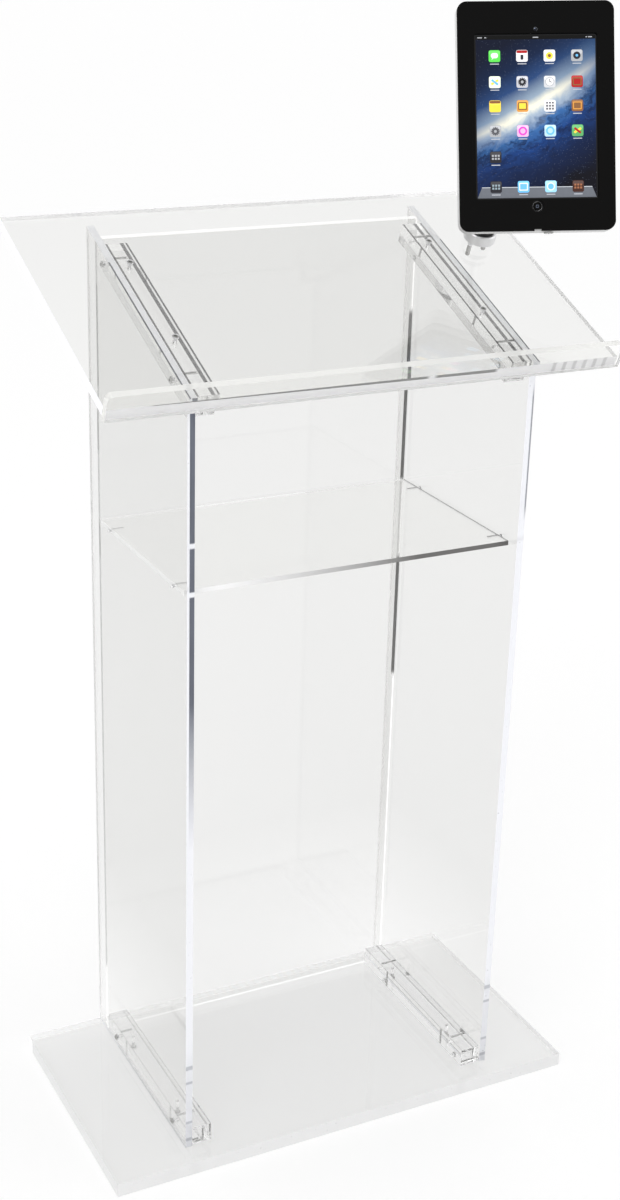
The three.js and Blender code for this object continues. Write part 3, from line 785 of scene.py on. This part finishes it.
def wallpaper_material():
    """A bent diagonal glow over a night-blue ground, with dark gaps under it and a few stars."""
    material, tree, shader = new_material("display_wallpaper")
    here = from_screen_centre(tree)
    tilt = math.radians(GLOW_TILT)
    run = SCREEN_ACROSS * math.cos(tilt) + SCREEN_UP * math.sin(tilt)
    rise = SCREEN_UP * math.cos(tilt) - SCREEN_ACROSS * math.sin(tilt)
    length = along(tree, run, here)
    from_middle = math_node(tree, "ABSOLUTE", length)
    offset = along(tree, rise, here)
    swirl = add(tree, "TexNoise", Scale=26.0, Detail=5.0, Roughness=0.6, Distortion=1.2)
    tree.links.new(here, swirl.inputs["Vector"])
    wave = span(tree, swirl.outputs["Fac"], -0.016, 0.016)
    under = span(tree, offset, 1.0, 0.15, 0.0, 0.02)
    bend = product(tree, math_node(tree, "POWER", from_middle, 2.0), 0.8)
    straight = math_node(tree, "SUBTRACT", offset, bend)
    across = math_node(tree, "ADD", straight, product(tree, wave, under))
    glow = ramp(tree, across, -GLOW_REACH, GLOW_REACH, BRIGHT_STOPS)
    dim = ramp(tree, across, -GLOW_REACH, GLOW_REACH, DIM_STOPS)
    ground = blend_colours(tree, span(tree, from_middle, 0, 1, DIM_FROM, DIM_TO), glow, dim)
    below = inside(tree, across, (GAP_STRETCH,))
    streaks = span(tree, streaks_along(tree, length, across), 0, 0.85, 0.46, 0.62)
    ground = blend_colours(tree, product(tree, streaks, below), ground, GAP_BLUE)
    stars = add(tree, "TexVoronoi", Scale=520.0)
    tree.links.new(here, stars.inputs["Vector"])
    spark = math_node(tree, "LESS_THAN", stars.outputs["Distance"], 0.09)
    colour = blend_colours(tree, product(tree, spark, 0.35), ground, STAR_BLUE)
    tree.links.new(colour, shader.inputs["Base Color"])
    tree.links.new(colour, shader.inputs["Emission Color"])
    shader.inputs["Emission Strength"].default_value = WALLPAPER_GLOW
    shader.inputs["Roughness"].default_value = 0.08
    shader.inputs["Specular IOR Level"].default_value = 0.2
    return material


def icon_speech(picture, u, v):
    picture.box(9, 6.4, u, v + 0.6, 5, WHITE, radius=3.0)
    picture.plate([(-1.4, 1), (-2.4, -1.8), (0.8, 1)], u - 1.2, v - 2.8, 5, WHITE)


def icon_disc(colour, radius=4.4, inner=None, inner_radius=2.4):
    def draw(picture, u, v):
        picture.disc(radius, u, v, 5, colour)
        if inner:
            picture.disc(inner_radius, u, v, 6, inner)
    return draw


def icon_band(colour, mark):
    """A band over the tile's top and a short mark under it."""
    def draw(picture, u, v):
        picture.box(13.4, 3.4, u, v + 5.0, 5, colour, radius=1.6)
        picture.box(3.4, 6.0, u, v - 1.6, 5, mark, radius=1.0)
    return draw


def icon_gear(colour):
    def draw(picture, u, v):
        for turn in range(0, 180, 30):
            picture.box(1.6, 10.4, u, v, 5, colour, turn=turn)
        picture.disc(4.0, u, v, 6, colour)
        picture.disc(1.8, u, v, 7, GREY)
    return draw


def icon_dial(picture, u, v):
    picture.disc(5.6, u, v, 5, GREY)
    picture.disc(4.8, u, v, 6, WHITE)
    picture.box(0.7, 3.8, u, v + 1.6, 7, DARK)
    picture.box(0.7, 3.0, u + 1.2, v - 0.3, 7, DARK, turn=70)


def icon_grid(colour, columns=3, rows=3):
    def draw(picture, u, v):
        for i in range(columns):
            for j in range(rows):
                across = u + (i - (columns - 1) / 2) * 3.6
                up = v + (j - (rows - 1) / 2) * 3.6
                picture.box(2.4, 2.4, across, up, 5, colour)
    return draw


def icon_cross(colour, other):
    def draw(picture, u, v):
        picture.box(10, 2.6, u, v, 5, colour, turn=32)
        picture.box(10, 2.6, u, v, 6, other, turn=-38)
    return draw


def icon_frame(colour, fill):
    def draw(picture, u, v):
        picture.box(11, 9.5, u, v, 5, colour, radius=1.2)
        picture.box(8.4, 6.8, u, v, 6, fill, radius=0.6)
    return draw


LEAF = (0.10, 0.62, 0.08)
YELLOW = (0.85, 0.62, 0.06)
RED = (0.36, 0.015, 0.015)
BROWN = (0.22, 0.10, 0.04)
ORANGE = (0.62, 0.28, 0.06)
SKY = (0.14, 0.45, 0.80)
PALE_SKY = (0.42, 0.62, 0.78)
CLEAR_SKY = (0.30, 0.60, 0.85)
MAGENTA = (0.65, 0.07, 0.50)
PINK = (0.72, 0.40, 0.62)
SAND = (0.72, 0.78, 0.66)
SILVER = (0.45, 0.46, 0.50)
PEWTER = (0.55, 0.56, 0.58)
CHARCOAL = (0.12, 0.12, 0.13)
SOOT = (0.08, 0.08, 0.09)
FOREST = (0.10, 0.35, 0.12)
TEAL = (0.25, 0.32, 0.36)
RUST = (0.30, 0.12, 0.06)
UMBER = (0.05, 0.02, 0.015)
COLUMNS = (-51, -17, 17, 51)

# Each row of tiles: its height, then each tile's colour and sign.
ICON_ROWS = (
    (73.9, (
        (LEAF, icon_speech),
        (WHITE, icon_band(RED, DARK)),
        (WHITE, icon_disc(YELLOW, 4.4, BROWN, 2.0)),
        (GREY, icon_disc(DARK, 4.6, SKY, 1.6)))),
    (42.4, (
        (SAND, icon_cross(YELLOW, SKY)),
        (SILVER, icon_gear(DARK)),
        (PEWTER, icon_dial),
        (RED, icon_frame(BROWN, RED)))),
    (13.2, (
        (YELLOW, icon_band(BROWN, YELLOW)),
        (ORANGE, icon_frame(BROWN, YELLOW)),
        (WHITE, icon_grid(CHARCOAL)),
        (BROWN, icon_frame(ORANGE, BROWN)))),
    (-17.1, (
        (GREY, icon_gear(SOOT)),
        (PINK, icon_disc(MAGENTA, 5.4, PINK, 3.2)),
        (PALE_SKY, icon_disc(SKY, 5.4, PALE_SKY, 3.2)),
        (FOREST, icon_cross(YELLOW, RED)))),
    (-48.7, (
        (DARK, icon_grid(GREY, rows=2)),)),
    (DOCK_ROW, (
        (DARK, icon_grid(TEAL, rows=2)),
        (SKY, icon_frame(WHITE, SKY)),
        (CLEAR_SKY, icon_disc(WHITE, 5.0, SKY, 3.6)),
        (UMBER, icon_grid(RUST, rows=2)))),
)


def make_display():
    """A lit home screen of plain generic tiles on the tablet's glass."""
    wallpaper = Picture()
    wallpaper.box(SCREEN_WIDTH, SCREEN_HEIGHT, 0, 0, 1, WHITE)
    wallpaper.piece("display_wallpaper", wallpaper_material())
    bars = Picture()
    bars.box(SCREEN_WIDTH, STATUS_BAR_HEIGHT, 0, STATUS_BAR, 2, STATUS_BLACK)
    dock = [(DOCK_FRONT, -13.5), (-DOCK_FRONT, -13.5), (-DOCK_BACK, -0.8), (DOCK_BACK, -0.8)]
    bars.plate(dock, 0, DOCK_ROW, 2, DOCK_GREY)
    bars.box(2 * DOCK_BACK, 0.7, 0, DOCK_ROW - 0.6, 3, DOCK_RIM)
    for place, width in ((-69, 6.0), (-62, 2.4), (0, 7.0), (63, 2.0), (67.5, 5.0)):
        bars.box(width, 1.2, place, STATUS_BAR, 3, GREY, radius=0.5)
    bars.piece("display_bars", lit_material("display_bars", 0.7, 0.08))
    tiles = Picture()
    for row, icons in ICON_ROWS:
        for column, (colour, draw) in zip(COLUMNS, icons):
            sheen = [min(1, 1.25 * channel + 0.03) for channel in colour]
            tiles.box(TILE, TILE, column, row, 4, colour, radius=2.4)
            tiles.box(TILE - 1.2, 4.6, column, row + 4.2, 4.4, sheen, radius=1.8)
            draw(tiles, column, row)
            tiles.box(11, 1.1, column, row - 9.6, 4, CAPTION_GREY, radius=0.5)
    tiles.piece("display_tiles", lit_material("display_tiles", 0.62, 0.08))


def make_glints():
    """A ring round the tablet's lens with a painted glint, and a rounded square printed on its home button, lit
    bluish as a painted glint; both pieces glow a little, which is painted light.
    """
    lens = Picture()
    lens.disc(2.7, 0, LENS_PLACE, 1, LENS_RING)
    lens.disc(2.1, 0.2, LENS_PLACE - 0.2, 2, LENS_BLACK)
    # Painted highlight on the lens.
    lens.disc(0.6, -0.6, LENS_PLACE + 0.7, 3, LENS_GLINT)
    lens.piece("camera_lens", lit_material("lens_painted_glint", 0.35, 0.05))
    low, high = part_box("home_button")
    middle = (low + high) / 2 - SCREEN_CENTRE
    vertices = nodes["home_button"].data.vertices
    face = max((Vector(vertex.co) - SCREEN_CENTRE).dot(SCREEN_OUT) for vertex in vertices)
    u = middle.dot(SCREEN_ACROSS) / MM
    v = middle.dot(SCREEN_UP) / MM
    mark = Picture()
    layer = face / LAYER + 1
    mark.box(3.6, 3.6, u, v, layer, BUTTON_LINE, radius=0.9)
    mark.box(2.8, 2.8, u, v, layer + 1, BUTTON_BLACK, radius=0.6)
    mark.piece("home_button_mark", lit_material("button_print_painted_glint", 0.25, 0.2), "home_button")


# ---------------------------------------------------------------- stage

WHITE_LIGHT = (1, 1, 1, 1)
FLOOR_HALF = 40
FLOOR_DROP = 0.4 * MM
FLOOR_GREY = (0.42, 0.42, 0.42, 1)
FLOOR_GLOW = 0.63
BACKDROP_STRENGTH = 1.05
STUDIO_STRENGTH = (1.0, 0.72)
STUDIO_FADE = (0.25, 0.8)
LIGHTS_AIM = Vector((0, 0, 0.7))


def make_floor():
    """A pale floor with some glow of its own, so that it meets the white backdrop without an edge."""
    mesh = bpy.data.meshes.new("floor")
    corners = ((-1, -1), (1, -1), (1, 1), (-1, 1))
    places = [(side * FLOOR_HALF, end * FLOOR_HALF, 0) for side, end in corners]
    mesh.from_pydata(places, [], [(0, 1, 2, 3)])
    floor = bpy.data.objects.new("floor", mesh)
    floor.location.z = -FLOOR_DROP
    scene.collection.objects.link(floor)
    material, _, shader = new_material("floor")
    shader.inputs["Base Color"].default_value = FLOOR_GREY
    shader.inputs["Roughness"].default_value = 0.8
    shader.inputs["Specular IOR Level"].default_value = 0.1
    shader.inputs["Emission Color"].default_value = WHITE_LIGHT
    shader.inputs["Emission Strength"].default_value = FLOOR_GLOW
    mesh.materials.append(material)


def make_world():
    """A white backdrop, and for the light a studio that is brightest below and dimmer overhead."""
    world = bpy.data.worlds.new("studio")
    world.use_nodes = True
    scene.world = world
    tree = world.node_tree
    tree.nodes.clear()
    path = tree.nodes.new("ShaderNodeLightPath")
    seen = tree.nodes.new("ShaderNodeBackground")
    seen.inputs["Color"].default_value = WHITE_LIGHT
    seen.inputs["Strength"].default_value = BACKDROP_STRENGTH
    studio = tree.nodes.new("ShaderNodeBackground")
    studio.inputs["Color"].default_value = WHITE_LIGHT
    direction = add(tree, "SeparateXYZ")
    tree.links.new(add(tree, "TexCoord").outputs["Generated"], direction.inputs[0])
    strength = span(tree, direction.outputs["Z"], *STUDIO_STRENGTH, *STUDIO_FADE)
    tree.links.new(strength, studio.inputs["Strength"])
    mix = tree.nodes.new("ShaderNodeMixShader")
    output = tree.nodes.new("ShaderNodeOutputWorld")
    tree.links.new(path.outputs["Is Camera Ray"], mix.inputs["Fac"])
    tree.links.new(studio.outputs[0], mix.inputs[1])
    tree.links.new(seen.outputs[0], mix.inputs[2])
    tree.links.new(mix.outputs[0], output.inputs["Surface"])


def area_light(name, place, size, power):
    """A square light of the given size in metres and power in watts, aimed at the lectern's middle."""
    data = bpy.data.lights.new(name, "AREA")
    data.shape = "RECTANGLE"
    data.size = size
    data.size_y = size
    data.energy = power
    lamp = bpy.data.objects.new(name, data)
    lamp.location = place
    lamp.rotation_mode = "QUATERNION"
    lamp.rotation_quaternion = (LIGHTS_AIM - Vector(place)).to_track_quat("-Z", "Y")
    scene.collection.objects.link(lamp)


def make_lights():
    area_light("key_light", (-3.0, -2.5, 4.2), 2.4, 40)
    area_light("fill_light", (3.4, -1.0, 3.6), 2.0, 15)


make_camera()
paint_frame()
make_display()
make_glints()
make_floor()
make_world()
make_lights()
scene.view_settings.view_transform = "Standard"
scene.view_settings.look = "None"

# Light crosses many acrylic faces before it comes out.
scene.cycles.max_bounces = 48
scene.cycles.transmission_bounces = 48
scene.cycles.glossy_bounces = 24
